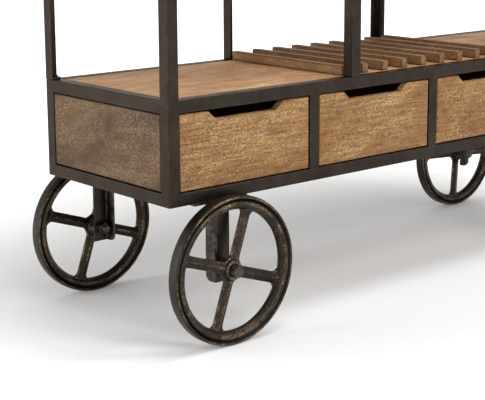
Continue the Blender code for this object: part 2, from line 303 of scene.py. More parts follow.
woodLayers = {      # where a noise starts and ends to show, and what it does at those two levels
    "tones": (0.38, 0.49, 0.60),        # levels of the dark, middle and light colours
    "weights": {"figure": 0.58, "streak": 0.14, "ripple": 0.28, "board": 0.12},
    "stave": (0.0, 1.0, -0.03, 0.03),
    "warm": (0.46, 0.64, 0.0, 0.60),
    "busy": (0.40, 0.58, 1.0, 0.25),    # flecks thin out in the smoky patches
    "fleck": (0.52, 0.62, 0.0),
    "pore": (0.51, 0.63, 0.0),
    "poreDepth": 0.9,
    "smoke": (0.49, 0.66, 0.0),
    # painted shade along board edges, where the joints are shadowed
    "grime": (0.35, 0.65, 0.35, 0.8),
    "fibreGloss": (0.3, 0.7, -0.05, 0.06),
    "poreGloss": (0.5, 0.7),
    "poreDull": 0.18,
    "relief": {"figure": (0.12, 0.004), "fibre": (0.25, 0.0003), "pore": (-0.35, 0.0004)},
}


def makeWood(name):
    wood, layers = woods[name], woodLayers
    along, contrast = wood["along"], wood["contrast"]
    material, tree, shader, place = startMaterial(name, 0.0, wood["specular"])
    lean = math.radians(wood["slant"])
    turn = (0.0, lean, lean / 2) if along == 0 else (lean, 0.0, lean / 2)
    leaning = addNode(tree, "Mapping", Vector=place, Rotation=turn).outputs[0]

    def grain(layer, where):
        slow, fast, *rest = woodGrain[layer]
        stretch = tuple(slow if axis == along else fast for axis in range(3))
        return grainNoise(tree, where, stretch, *rest)

    figure, ripple = grain("figure", leaning), grain("ripple", leaning)
    streak, fibre = grain("streak", place), grain("fibre", place)
    poreNoise, fleckNoise = grain("pore", leaning), grain("fleck", leaning)
    smoke, hue = grain("smoke", leaning), grain("hue", leaning)

    weights = layers["weights"]
    tone = weighed(tree, (figure, weights["figure"]), (streak, weights["streak"]),
                   (ripple, weights["ripple"]), (attribute(tree, "tone"), weights["board"]))
    if wood["stave"]:       # glued staves of slightly different tone, side by side across the board
        across = addNode(tree, "SeparateXYZ", Vector=place).outputs["Y" if along == 0 else "X"]
        index = worked(tree, "FLOOR", worked(tree, "DIVIDE", across, wood["stave"]))
        pick = addNode(tree, "TexWhiteNoise", {"noise_dimensions": "1D"}, W=index).outputs["Value"]
        tone = worked(tree, "ADD", tone, between(tree, pick, *layers["stave"]))
    colours = (wood["dark"], wood["middle"], wood["light"])
    colour = tones(tree, tone, list(zip(layers["tones"], colours)))
    colour = blended(tree, between(tree, hue, *layers["warm"]), colour, wood["warm"])
    busy = between(tree, smoke, *layers["busy"])
    fleck = worked(tree, "MULTIPLY", between(tree, fleckNoise, *layers["fleck"], contrast), busy)
    colour = blended(tree, fleck, colour, wood["fleck"])
    pore = between(tree, poreNoise, *layers["pore"], layers["poreDepth"] * contrast)
    colour = blended(tree, pore, colour, wood["pore"])
    shade = between(tree, smoke, *layers["smoke"], wood["smoke"])
    colour = blended(tree, shade, colour, wood["dark"])
    # painted shade: near its edges each board darkens towards the pore colour in streaks, standing in for the
    # shadow in the joints
    grime = worked(tree, "MULTIPLY", attribute(tree, "worn"), between(tree, streak, *layers["grime"]))
    colour = blended(tree, grime, colour, wood["pore"])
    tree.links.new(colour, shader.inputs["Base Color"])
    dullest = wood["roughness"] + layers["poreDull"]
    gloss = worked(tree, "ADD", between(tree, fibre, *layers["fibreGloss"]),
                   between(tree, poreNoise, *layers["poreGloss"], wood["roughness"], dullest))
    tree.links.new(gloss, shader.inputs["Roughness"])
    relief = layers["relief"]
    raised(tree, shader, [(figure, *relief["figure"]), (fibre, *relief["fibre"]),
                          (poreNoise, *relief["pore"])])
    return material


# Steel and iron

steels = {      # "grain" is in specks per metre, "edgeLevel" is how bright rubbed edges get
    "frameSteel": {
        "dark": (0.0205, 0.0160, 0.0125), "light": (0.0370, 0.0295, 0.0232), "edge": (0.095, 0.080, 0.064),
        "metallic": 0.94, "roughness": 0.40, "grain": 420.0, "edgeLevel": 0.25,
    },
    "legSteel": {
        "dark": (0.026, 0.021, 0.017), "light": (0.050, 0.042, 0.034), "edge": (0.16, 0.14, 0.12),
        "metallic": 0.95, "roughness": 0.34, "grain": 300.0, "edgeLevel": 0.45,
    },
    "boltSteel": {
        "dark": (0.022, 0.019, 0.016), "light": (0.048, 0.042, 0.036), "edge": (0.16, 0.145, 0.125),
        "metallic": 0.95, "roughness": 0.38, "grain": 600.0, "edgeLevel": 0.5,
    },
}

steelLayers = {     # noises as features per metre, detail, roughness, swirl, shift; layers as for wood
    "edgeTint": (0.85, 0.79, 0.73),     # what dark steel gives back at a flat angle
    "mottle": (13.0, 6.0, 0.62, 0.6),
    "smear": (38.0, 4.0, 0.65, 1.2, (2.0, 5.0, 1.0)),
    "grain": (4.0, 0.65),
    "weights": {"mottle": 0.6, "smear": 0.4},
    "tones": (0.38, 0.62),
    "speck": (0.60, 0.74, 0.0, 0.25),
    "worn": (0.55, 1.0),
    "rubbed": (0.40, 0.62, 0.0),
    "smearGloss": (0.3, 0.7),
    "glossSpread": (-0.07, 0.10),
    "grainGloss": (0.3, 0.7, -0.04, 0.05),
    "relief": {"mottle": (0.10, 0.002), "grain": (0.16, 0.0002)},
}


def makeSteel(name):
    steel, layers = steels[name], steelLayers
    material, tree, shader, place = startMaterial(name, steel["metallic"])
    shader.inputs["Specular Tint"].default_value = (*layers["edgeTint"], 1.0)
    mottle = evenNoise(tree, place, *layers["mottle"])
    smear = evenNoise(tree, place, *layers["smear"])
    grain = evenNoise(tree, place, steel["grain"], *layers["grain"])
    tone = weighed(tree, (mottle, layers["weights"]["mottle"]), (smear, layers["weights"]["smear"]))
    colour = tones(tree, tone, list(zip(layers["tones"], (steel["dark"], steel["light"]))))
    colour = blended(tree, between(tree, grain, *layers["speck"]), colour, steel["edge"])
    rubbed = worked(tree, "MULTIPLY", between(tree, attribute(tree, "worn"), *layers["worn"]),
                    between(tree, smear, *layers["rubbed"], steel["edgeLevel"]))
    colour = blended(tree, rubbed, colour, steel["edge"])
    tree.links.new(colour, shader.inputs["Base Color"])
    glossy, dull = (steel["roughness"] + spread for spread in layers["glossSpread"])
    gloss = worked(tree, "ADD", between(tree, smear, *layers["smearGloss"], glossy, dull),
                   between(tree, grain, *layers["grainGloss"]))
    tree.links.new(gloss, shader.inputs["Roughness"])
    relief = layers["relief"]
    raised(tree, shader, [(mottle, *relief["mottle"]), (grain, *relief["grain"])])
    return material


iron = {
    "metallic": 0.95,
    "scale": (0.010, 0.0085, 0.007),
    "skin": (0.047, 0.037, 0.028),
    "bronze": (0.52, 0.37, 0.210),
    "tread": (0.036, 0.033, 0.030),
    "sandNoise": (430.0, 5.0, 0.68),
    "lumpNoise": (120.0, 4.0, 0.6, 0.5),
    "patchNoise": (26.0, 4.0, 0.6, 0.6, (4.0, 1.0, 2.0)),
    "tones": (0.36, 0.60),
    "sandShine": (0.46, 0.66),
    "patchShine": (0.44, 0.62, 0.06, 1.0),
    "rubShine": (0.28, 0.95),
    "grooveShade": (0.0, 0.32, 0.60, 0.0),      # painted shade: grooves and hollows, where nothing rubs, darken towards the scale colour
    "treadGround": (0.3, 0.6, 0.75, 1.0),
    "sandGloss": (0.35, 0.65, 0.48, 0.28),
    "lumpGloss": (0.3, 0.7, -0.05, 0.07),
    "treadSmooth": (0.0, 1.0, 1.0, 0.15),
    "lumpRelief": (0.35, 0.0012),
    "sandRelief": (0.75, 0.0009),
}


def makeIron():
    material, tree, shader, place = startMaterial("castIron", iron["metallic"])
    sand = evenNoise(tree, place, *iron["sandNoise"])
    lumps = evenNoise(tree, place, *iron["lumpNoise"])
    patch = evenNoise(tree, place, *iron["patchNoise"])
    rub, tread = attribute(tree, "rub"), attribute(tree, "tread")
    colour = tones(tree, sand, list(zip(iron["tones"], (iron["scale"], iron["skin"]))))
    shine = worked(tree, "MULTIPLY", between(tree, sand, *iron["sandShine"]),
                   between(tree, patch, *iron["patchShine"]))
    shine = worked(tree, "MULTIPLY", shine, between(tree, rub, *iron["rubShine"]))
    colour = blended(tree, shine, colour, iron["bronze"])
    # painted shade in the grooves and hollows, where the rub value is low
    colour = blended(tree, between(tree, rub, *iron["grooveShade"]), colour, iron["scale"])
    ground = worked(tree, "MULTIPLY", tread, between(tree, lumps, *iron["treadGround"]))
    colour = blended(tree, ground, colour, iron["tread"])
    tree.links.new(colour, shader.inputs["Base Color"])
    gloss = worked(tree, "ADD", between(tree, sand, *iron["sandGloss"]),
                   between(tree, lumps, *iron["lumpGloss"]))
    tree.links.new(gloss, shader.inputs["Roughness"])
    rough = worked(tree, "MULTIPLY", sand, between(tree, tread, *iron["treadSmooth"]))
    raised(tree, shader, [(lumps, *iron["lumpRelief"]), (rough, *iron["sandRelief"])])
    return material


turnedBar = {
    "metallic": 0.9,
    "light": (0.095, 0.088, 0.080),
    "dark": (0.045, 0.041, 0.037),
    "cut": 2 * math.pi / 0.00055,       # one turn of the lathe feeds the tool by 0.55 mm
    "cutTone": 0.05,
    "blotchNoise": (150.0, 4.0, 0.6, 0.4),
    "fineNoise": (900.0, 3.0, 0.6),
    "tones": (0.36, 0.62),
    "gloss": (0.3, 0.7, 0.36, 0.52),
    "cutRelief": (0.12, 0.0001),
    "fineRelief": (0.15, 0.0002),
}


def makeTurnedSteel():      # rings of the lathe tool follow the distance from the axle's middle
    material, tree, shader, place = startMaterial("turnedSteel", turnedBar["metallic"])
    blotch = evenNoise(tree, place, *turnedBar["blotchNoise"])
    fine = evenNoise(tree, place, *turnedBar["fineNoise"])
    rings = worked(tree, "SINE", worked(tree, "MULTIPLY", attribute(tree, "distance"), turnedBar["cut"]))
    tone = worked(tree, "ADD", blotch, worked(tree, "MULTIPLY", rings, turnedBar["cutTone"]))
    colour = tones(tree, tone, list(zip(turnedBar["tones"], (turnedBar["dark"], turnedBar["light"]))))
    tree.links.new(colour, shader.inputs["Base Color"])
    tree.links.new(between(tree, blotch, *turnedBar["gloss"]), shader.inputs["Roughness"])
    raised(tree, shader, [(rings, *turnedBar["cutRelief"]), (fine, *turnedBar["fineRelief"])])
    return material


finishes = {name: makeWood(name) for name in woods}
finishes.update({name: makeSteel(name) for name in steels})
finishes["castIron"] = makeIron()
finishes["turnedSteel"] = makeTurnedSteel()
print("materials made")


# Mesh helpers

hair = 0.0003       # a gap or an overlap too fine to see
touch = 0.00001     # two places closer than this are the same
sharpFold = 0.5     # edges that fold by more than this, in radians, are rounded


def startMesh(*extra):
    bm = bmesh.new()
    for name in ("worn", "tone", *extra):
        bm.verts.layers.float.new(name)
    return bm


def markAll(bm, name, value, verts=None):
    layer = bm.verts.layers.float[name]
    for vert in verts or bm.verts:
        vert[layer] = value


def edgesOf(verts):
    return list({edge for vert in verts for edge in vert.link_edges})


def easeEdges(bm, edges, width, segments=3):
    bmesh.ops.bevel(bm, geom=edges, offset=width, offset_type="OFFSET", segments=segments, profile=0.5,
                    affect="EDGES", material=-1, clamp_overlap=True)


def foldedEdges(bm, fold=sharpFold):
    return [edge for edge in bm.edges if edge.calc_face_angle(0.0) > fold]


def easedBlock(bm, low, high, ease, axes=(0, 1, 2), segments=3):    # edges along the given axes are eased
    low, high = Vector(low), Vector(high)
    size = high - low
    place = Matrix.Translation((low + high) / 2) @ Matrix.Diagonal((*size, 1.0))
    verts = bmesh.ops.create_cube(bm, size=1.0, matrix=place)["verts"]
    runs = []
    for edge in edgesOf(verts):
        way = edge.verts[0].co - edge.verts[1].co
        if any(abs(way[axis]) > size[axis] / 2 for axis in axes):
            runs.append(edge)
    easeEdges(bm, runs, ease, segments)


def insetFlats(bm, width):      # a border on each flat face, so that wear on steel and painted shade on wood fade in from its edges
    markAll(bm, "worn", 1.0)
    flats = [face for face in bm.faces if min(edge.calc_length() for edge in face.edges) > 3 * width]
    chosen = set(flats)

    def continues(face):
        around = (other for edge in face.edges for other in edge.link_faces if other is not face)
        return any(other in chosen and face.normal.dot(other.normal) > 0.9999 for other in around)

    joined = [face for face in flats if continues(face)]
    single = [face for face in flats if not continues(face)]
    if single:
        bmesh.ops.inset_individual(bm, faces=single, thickness=width, use_even_offset=True)
    if joined:
        bmesh.ops.inset_region(bm, faces=joined, thickness=width, use_even_offset=True, use_boundary=True)
    markAll(bm, "worn", 0.0, {vert for face in flats for vert in face.verts})


def pieceName(node):
    first, *rest = node.split("_")
    return first + "".join(word.capitalize() for word in rest)


def finishPiece(bm, name, finish, body, nodes=(), angle=35.0):
    mesh = bpy.data.meshes.new(name)
    bm.to_mesh(mesh)
    bm.free()
    mesh.shade_smooth()
    mesh.set_sharp_from_angle(angle=math.radians(angle))
    mesh.materials.append(finishes[finish])
    piece = bpy.data.objects.new(name, mesh)
    bpy.context.scene.collection.objects.link(piece)
    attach(piece, body)
    if nodes:
        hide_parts(*nodes)


weld = {
    "pitch": 0.55,          # from drop to drop, in widths
    "flatten": 0.55,
    "wobble": 0.15,
    "wobbleStep": 1.7,      # how far apart the drops lie in the noise
    "wobbleScale": 40,
}


def weldBead(bm, start, end, width):      # a row of overlapping drops
    start, end = Vector(start), Vector(end)
    count = max(3, round((end - start).length / (width * weld["pitch"])))
    spread = start.x * weld["wobbleScale"], start.y * weld["wobbleScale"]
    for step in range(count):
        wobble = noise.noise(Vector((step * weld["wobbleStep"], *spread))) * weld["wobble"]
        size = width / 2 * (1 + wobble)
        middle = start.lerp(end, step / (count - 1))
        shape = Matrix.Diagonal((size, size, size * weld["flatten"], 1.0))
        bmesh.ops.create_icosphere(bm, subdivisions=2, radius=1.0, matrix=Matrix.Translation(middle) @ shape)


bolt = {        # all but the segments in head heights
    "washer": 0.3,
    "washerEase": 0.08,
    "washerSegments": 28,
    "lift": 0.25,           # how far a washer lifts the head
    "headEase": 0.14,
}


def disc(bm, place, low, high, radius, segments):
    middle = place @ Matrix.Translation((0, 0, (low + high) / 2))
    return bmesh.ops.create_cone(bm, cap_ends=True, segments=segments, radius1=radius, radius2=radius,
                                 depth=high - low, matrix=middle)["verts"]


def hexBolt(bm, seat, axis, across, height, washer=0.0):
    turn = Vector(axis).to_track_quat("Z", "Y").to_matrix().to_4x4()
    place = Matrix.Translation(seat) @ turn
    if washer:
        ring = disc(bm, place, 0.0, height * bolt["washer"], washer, bolt["washerSegments"])
        rims = [edge for edge in edgesOf(ring) if any(len(face.verts) > 4 for face in edge.link_faces)]
        easeEdges(bm, rims, height * bolt["washerEase"], 2)
    low = height * bolt["lift"] if washer else 0.0
    head = disc(bm, place, low, low + height, across / math.sqrt(3), 6)
    easeEdges(bm, edgesOf(head), height * bolt["headEase"], 2)


# Base frame of square tube

tube = {
    "ease": 0.0016,         # outer rounding of the tube
    "wear": 0.0035,
    "ledge": 0.003,         # thickness of the ledges the trays slide on
    "ledgeEase": 0.0006,
    "ledgeWeld": 0.0005,    # how far a ledge reaches into the tube
    "ledgeRoot": 0.002,     # the same at the end hoops
}


def tubeWidth():
    low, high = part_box("base_rail_top_front")
    return high.y - low.y


def ledgeHeights():         # the ledges lie just under the trays
    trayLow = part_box("drawer_tray_1")[0].z
    return trayLow - hair - tube["ledge"], trayLow - hair


def slideLedge(bm, left, right, front, rear):
    low, high = ledgeHeights()
    easedBlock(bm, (left, front - tube["ledgeWeld"], low), (right, rear + tube["ledgeWeld"], high),
               tube["ledgeEase"], segments=2)


def endFrame(node):
    low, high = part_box(node)
    side = 1 if (low.x + high.x) > 0 else -1
    width = tubeWidth()
    outer = max(abs(low.x), abs(high.x))
    span = sorted((side * outer, side * (outer - width)))
    bm = startMesh()
    size = Vector((width, high.y - low.y, high.z - low.z))
    middle = Vector((sum(span) / 2, (low.y + high.y) / 2, (low.z + high.z) / 2))
    place = Matrix.Translation(middle) @ Matrix.Diagonal((*size, 1.0))
    bmesh.ops.create_cube(bm, size=1.0, matrix=place)
    ends = [face for face in bm.faces if abs(face.normal.x) > 0.9]
    bmesh.ops.inset_individual(bm, faces=ends, thickness=width, use_even_offset=True)
    loops = list({edge for face in ends for edge in face.edges})
    bmesh.ops.delete(bm, geom=ends, context="FACES_ONLY")
    bmesh.ops.bridge_loops(bm, edges=loops)
    bmesh.ops.recalc_face_normals(bm, faces=bm.faces)
    easeEdges(bm, foldedEdges(bm), tube["ease"])
    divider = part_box("drawer_divider_1")
    shelf = (divider[1].x - divider[0].x - width) / 2       # how far a ledge stands out of its tube
    reach = sorted((side * (outer - width - shelf), side * (outer - width + tube["ledgeRoot"])))
    slideLedge(bm, *reach, low.y + width, high.y - width)
    insetFlats(bm, tube["wear"])
    finishPiece(bm, pieceName(node), "frameSteel", "cart", [node])


def longRail(node):         # its ends reach under the rounding of the tubes they meet
    low, high = (corner.copy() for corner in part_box(node))
    low.x -= tube["ease"] + hair
    high.x += tube["ease"] + hair
    bm = startMesh()
    easedBlock(bm, low, high, tube["ease"], axes=(0,))
    insetFlats(bm, tube["wear"])
    finishPiece(bm, pieceName(node), "frameSteel", "cart", [node])


def drawerDivider(node):
    low, high = (corner.copy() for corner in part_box(node))
    width = tubeWidth()
    middle = (low.x + high.x) / 2
    left, right = middle - width / 2, middle + width / 2
    bottom, top = low.z - tube["ease"] - hair, high.z + tube["ease"] + hair
    bm = startMesh()
    easedBlock(bm, (left, low.y, bottom), (right, low.y + width, top), tube["ease"], axes=(2,))
    easedBlock(bm, (left, high.y - width, bottom), (right, high.y, top), tube["ease"], axes=(2,))
    slideLedge(bm, low.x, high.x, low.y + width, high.y - width)
    insetFlats(bm, tube["wear"])
    finishPiece(bm, pieceName(node), "frameSteel", "cart", [node])


endFrame("base_end_frame_left")
endFrame("base_end_frame_right")
for level in ("bottom", "top"):
    for face in ("front", "rear"):
        longRail(f"base_rail_{level}_{face}")
for number in (1, 2, 3):
    drawerDivider(f"drawer_divider_{number}")
print("base frame made")


# Wooden boards

boards = {
    "ease": 0.0010,
    "wear": 0.0025,
    "slit": 0.0009,         # shrinkage that opens the joint around a panel
    "tight": 0.0012,        # growth that closes it at the back
    "slatEase": 0.0014,
    "slatTones": (0.1, -0.4, 0.3, -0.1, 0.5, -0.3, 0.0, 0.4, -0.2),
    "backTones": (0.0, 0.3, -0.2, 0.1),
    "deckTone": 0.1,
    "rightEndTone": 0.2,
}


def woodenBoard(node, finish, tone, ease=None, slit=(0, 0, 0)):
    low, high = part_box(node)
    low, high = low + Vector(slit), high - Vector(slit)
    bm = startMesh()
    easedBlock(bm, low, high, ease or boards["ease"])
    insetFlats(bm, boards["wear"])
    markAll(bm, "tone", tone)
    finishPiece(bm, pieceName(node), finish, "cart", [node])


woodenBoard("deck_board", "deckWood", boards["deckTone"])
woodenBoard("top_board", "deckWood", 0.0)
for side, tone in (("left", 0.0), ("right", boards["rightEndTone"])):
    woodenBoard(f"end_panel_{side}", "endWood", tone, slit=(0, boards["slit"], boards["slit"]))
for number, tone in enumerate(boards["backTones"], 1):
    woodenBoard(f"back_panel_{number}", "backWood", tone, slit=(-boards["tight"], 0, -boards["tight"]))
for number, tone in enumerate(boards["slatTones"], 1):
    woodenBoard(f"bottle_slat_{number}", "slatWoodShaded", tone, boards["slatEase"])
print("boards and slats made")


# Drawers

drawer = {
    "notchTop": 0.190,      # width of the finger notch at the edge
    "notchFloor": 0.152,
    "notchDrop": 0.017,
    "notchRound": 0.0025,
    "setBack": 0.0008,      # of the front behind the frame
    "ease": 0.0009,
    "tones": (0.25, 0.0, -0.35, 0.15),
    "wall": 0.012,          # of the tray
    "groove": 0.001,        # how far the tray's bottom lies in its walls
    "bottomLift": 0.002,
    "bottomEase": 0.0004,
    "trayTone": 0.1,
}


def drawerFront(number):
    low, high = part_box(f"drawer_front_{number}")
    slit = Vector((boards["slit"], 0.0, boards["slit"]))
    low, high = low + slit + Vector((0, drawer["setBack"], 0)), high - slit
    middle = (low.x + high.x) / 2
    top, floor = drawer["notchTop"] / 2, drawer["notchFloor"] / 2
    dip = high.z - drawer["notchDrop"]
    outline = [
        (low.x, low.z), (high.x, low.z), (high.x, high.z), (middle + top, high.z), (middle + floor, dip),
        (middle - floor, dip), (middle - top, high.z), (low.x, high.z),
    ]
    bm = startMesh()
    face = bm.faces.new([bm.verts.new((x, low.y, z)) for x, z in outline])
    grown = bmesh.ops.extrude_face_region(bm, geom=[face])["geom"]
    moved = [part for part in grown if isinstance(part, bmesh.types.BMVert)]
    bmesh.ops.translate(bm, vec=(0, high.y - low.y, 0), verts=moved)
    bmesh.ops.recalc_face_normals(bm, faces=bm.faces)

    def inCorner(vert):     # where the notch's floor meets its sides
        return abs(abs(vert.co.x - middle) - floor) < touch and abs(vert.co.z - dip) < touch

    corners = [edge for edge in bm.edges if all(inCorner(vert) for vert in edge.verts)
               and abs(edge.verts[0].co.y - edge.verts[1].co.y) > touch]
    easeEdges(bm, corners, drawer["notchRound"], 4)
    easeEdges(bm, foldedEdges(bm), drawer["ease"], 2)
    insetFlats(bm, boards["wear"])
    markAll(bm, "tone", drawer["tones"][number - 1])
    finishPiece(bm, f"drawerFront{number}", "drawerWood", f"drawer_{number}", [f"drawer_front_{number}"])


def drawerTray(number):
    low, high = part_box(f"drawer_tray_{number}")
    wall = drawer["wall"]
    bm = startMesh()
    for x in (low.x, high.x - wall):
        easedBlock(bm, (x, low.y, low.z), (x + wall, high.y, high.z), drawer["ease"], segments=2)
    left, right = low.x + wall + hair, high.x - wall - hair
    for y in (low.y, high.y - wall):
        easedBlock(bm, (left, y, low.z), (right, y + wall, high.z), drawer["ease"], segments=2)
    inset = wall - drawer["groove"]
    easedBlock(bm, (low.x + inset, low.y + inset, low.z + drawer["bottomLift"]),
               (high.x - inset, high.y - inset, low.z + wall), drawer["bottomEase"], segments=1)
    insetFlats(bm, boards["wear"])
    markAll(bm, "tone", drawer["trayTone"] * (number % 2))
    finishPiece(bm, f"drawerTray{number}", "trayWood", f"drawer_{number}", [f"drawer_tray_{number}"])


for number in (1, 2, 3, 4):
    drawerFront(number)
    drawerTray(number)
print("drawers made")


# Upper posts and top frame

post = {
    "wall": 0.003,
    "toe": 0.0012,
    "heel": 0.0009,
    "root": 0.0028,
    "wear": 0.003,
    "pad": 0.004,           # thickness of the foot pad in the angle
    "padIn": 0.0005,        # how far the pad reaches into the walls
    "padShort": 0.001,      # how far it stays behind the flanges' toes
    "padRound": 0.007,
    "padEase": 0.0005,
    "bolt": 0.0095,         # across the flats of the bolt head on the pad
    "boltHeight": 0.0045,
    "boltShift": 0.001,     # off the pad's middle, away from the welds
    "bead": 0.0042,
    "beadIn": 0.0008,       # from the pad's edge to the bead's middle
    "beadEnds": (0.002, 0.003),
    "seam": 0.0022,         # width of a finer weld
    "seamOut": 0.0002,
    "footWorn": 0.85,
}

angleFold = 0.9     # only the angle's own edges fold by more than this, in radians


def angleBar(bm, width, depth, wall, bottom, top, heel, root, toe, corner=0.0):    # flanges along +X and +Y
    path = [bm.verts.new(point) for point in ((width, 0, bottom), (0, 0, bottom), (0, depth, bottom))]
    edges = [bm.edges.new(pair) for pair in zip(path, path[1:])]
    grown = bmesh.ops.extrude_edge_only(bm, edges=edges)["geom"]
    upper = [part for part in grown if isinstance(part, bmesh.types.BMVert)]
    bmesh.ops.translate(bm, vec=(0, 0, top - bottom), verts=upper)
    sheet = list({face for vert in path + upper for face in vert.link_faces})
    bmesh.ops.recalc_face_normals(bm, faces=sheet)
    if sheet[0].normal.dot(Vector((1, 1, 0))) > 0:
        bmesh.ops.reverse_faces(bm, faces=sheet)
    bmesh.ops.solidify(bm, geom=sheet, thickness=wall)

    def edgesWhere(test):
        return [edge for edge in bm.edges if all(test(vert.co) for vert in edge.verts)]

    def upright(place):     # the edge that stands on the angle's diagonal at this place
        return edgesWhere(lambda co: abs(co.x - place) < touch and abs(co.y - place) < touch)

    if corner:      # the lower free corner of the +Y flange
        easeEdges(bm, edgesWhere(lambda co: co.z < bottom + touch and co.y > depth - touch), corner, 7)
    easeEdges(bm, upright(0.0), heel, 6)
    easeEdges(bm, upright(wall), root, 5)
    lower = [edge for edge in foldedEdges(bm, angleFold) if min(vert.co.z for vert in edge.verts) < top - toe]
    easeEdges(bm, lower, toe, 2)


def placed(bm, turn):
    bmesh.ops.transform(bm, matrix=turn, verts=bm.verts)


def uprightPost(node):
    low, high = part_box(node)
    place = standing(node)
    width = high.x - low.x
    bm = startMesh()
    angleBar(bm, width, width, post["wall"], low.z - hair, high.z + hair,
             post["heel"], post["root"], post["toe"])
    placed(bm, place)
    insetFlats(bm, post["wear"])
    finishPiece(bm, pieceName(node), "frameSteel", "cart", [node])
    postFoot(pieceName(node) + "Foot", width, low.z, place)


def standing(node):     # puts the angle's heel at the post's corner towards its end and face of the cart
    low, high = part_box(node)
    atLeft, atFront = node.endswith("left"), "front" in node
    corner = Vector((low.x if atLeft else high.x, low.y if atFront else high.y, 0.0))
    quarters = {(True, True): 0, (False, True): 1, (False, False): 2, (True, False): 3}
    return Matrix.Translation(corner) @ Matrix.Rotation(quarters[atLeft, atFront] * math.pi / 2, 4, "Z")


def postFoot(name, width, floor, place):
    pad = startMesh()
    inner, outer = post["wall"] - post["padIn"], width - post["padShort"]
    middle, side, top = (inner + outer) / 2, outer - inner, floor + post["pad"]
    centre = Matrix.Translation((middle, middle, (floor + top) / 2))
    shape = Matrix.Diagonal((side, side, post["pad"], 1.0))
    verts = bmesh.ops.create_cube(pad, size=1.0, matrix=centre @ shape)["verts"]
    farthest = [vert for vert in verts if vert.co.x > middle and vert.co.y > middle]
    free = [edge for edge in edgesOf(farthest) if all(vert in farthest for vert in edge.verts)]
    easeEdges(pad, free, post["padRound"], 6)
    easeEdges(pad, foldedEdges(pad), post["padEase"], 2)
    seat = middle + post["boltShift"]
    hexBolt(pad, (seat, seat, top), (0, 0, 1), post["bolt"], post["boltHeight"])
    beside = inner + post["beadIn"]
    first, last = inner + post["beadEnds"][0], outer - post["beadEnds"][1]
    weldBead(pad, (first, beside, top), (last, beside, top), post["bead"])
    weldBead(pad, (beside, first, top), (beside, last, top), post["bead"])
    placed(pad, place)
    # these two are left where they were made, at the middle of the deck
    seam, out = post["seam"], post["seamOut"]
    weldBead(pad, (seam, out, floor), (width - seam, out, floor), seam)
    weldBead(pad, (out, seam, floor), (out, width - seam, floor), seam)
    markAll(pad, "worn", post["footWorn"])
    finishPiece(pad, name, "boltSteel", "cart")


def shortRail(node):
    low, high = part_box(node)
    bm = startMesh()
    easedBlock(bm, low, high, tube["ease"])
    insetFlats(bm, tube["wear"])
    finishPiece(bm, pieceName(node), "frameSteel", "cart", [node])


for kind in ("corner", "middle"):
    for face in ("front", "rear"):
        for end in ("left", "right"):
            uprightPost(f"{kind}_post_{face}_{end}")
for end in ("left", "right"):
    shortRail(f"top_rail_{end}")
for face in ("front", "rear"):
    longRail(f"top_rail_{face}")
print("upper frame made")


# Legs

leg = {
    "web": 0.036,
    "flange": 0.028,
    "wall": 0.004,
    "drop": 0.029,          # how far the leg reaches below the axle
    "heel": 0.0055,
    "root": 0.0030,
    "toe": 0.0012,
    "round": 0.013,         # lower free corner of the flange
    "wear": 0.003,
    "plate": 0.005,
    "plateIn": 0.001,       # how far the leg reaches into its plate
    "plateBack": 0.001,     # how far the plate stays behind the frame's face
    "plateUp": 0.0002,
    "plateEase": 0.0009,
    "bead": 0.005,
    "beadShort": 0.006,     # from the web's sides to the bead's ends
    "beadOut": 0.0015,
    "beadDown": 0.0006,
    "rim": 0.0055,          # width of the weld around the plate
    "rimShort": 0.004,
    "rimFront": 0.006,
    "rimOut": 0.0008,
}


def cartLeg(corner, axle):
    node = f"leg_{corner}"
    low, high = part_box(node)
    facing = -1 if corner.startswith("front") else 1
    side = -1 if corner.endswith("left") else 1
    flangeSide = side * -facing
    skin = low.y if facing < 0 else high.y
    plateLow = high.z - leg["plate"]
    bm = startMesh()
    angleBar(bm, leg["web"], leg["flange"], leg["wall"], axle.z - leg["drop"], plateLow + leg["plateIn"],
             leg["heel"], leg["root"], leg["toe"], leg["round"])
    # the heel stands at the flange's side of the web, the flange points inwards
    flip = Matrix.Diagonal((-flangeSide, -facing, 1.0, 1.0))
    placed(bm, Matrix.Translation((axle.x + flangeSide * leg["web"] / 2, skin, 0.0)) @ flip)
    bmesh.ops.recalc_face_normals(bm, faces=bm.faces)
    front, rear = (low.y + leg["plateBack"], high.y) if facing < 0 else (low.y, high.y - leg["plateBack"])
    easedBlock(bm, (low.x, front, plateLow), (high.x, rear, high.z + leg["plateUp"]),
               leg["plateEase"], segments=2)
    insetFlats(bm, leg["wear"])
    beadY, beadZ = skin - facing * (leg["wall"] + leg["beadOut"]), plateLow - leg["beadDown"]
    beadHalf = leg["web"] / 2 - leg["beadShort"]
    weldBead(bm, (axle.x - beadHalf, beadY, beadZ), (axle.x + beadHalf, beadY, beadZ), leg["bead"])
    inner = skin - facing * (high.y - low.y + leg["rimOut"])
    left, right = low.x + leg["rimShort"], high.x - leg["rimShort"]
    weldBead(bm, (left, inner, high.z), (right, inner, high.z), leg["rim"])
    for x in (low.x - leg["rimOut"], high.x + leg["rimOut"]):
        weldBead(bm, (x, skin - facing * leg["rimFront"], high.z), (x, inner, high.z), leg["rim"])
    finishPiece(bm, pieceName(node), "legSteel", "cart", [node])


# Axles

axleShape = {
    "bar": 0.0115,          # radii of the bar, its collar and the threaded stud
    "collar": 0.017,
    "stud": 0.008,
    "chamfer": 0.0011,
    "collarEase": 0.0008,
    "thread": 0.00125,      # pitch
    "threadDepth": 0.0007,
    "threadEnds": 0.002,    # the stud is plain behind the nut and at its tip
    "tip": 0.0010,
    "segments": 72,
    "nutAcross": 0.0241,
    "nutHeight": 0.013,     # with its washer
    "headShare": 0.82,      # of that height, the nut's own
    "washer": 0.0150,
    "nutWorn": 0.7,
    "standoff": 0.0305,     # from the frame's face to the wheel's middle
    "proud": 0.020,
    "hubEnd": 0.0152,       # inner end of the hub, from the wheel's middle
    "reach": 0.025,
}


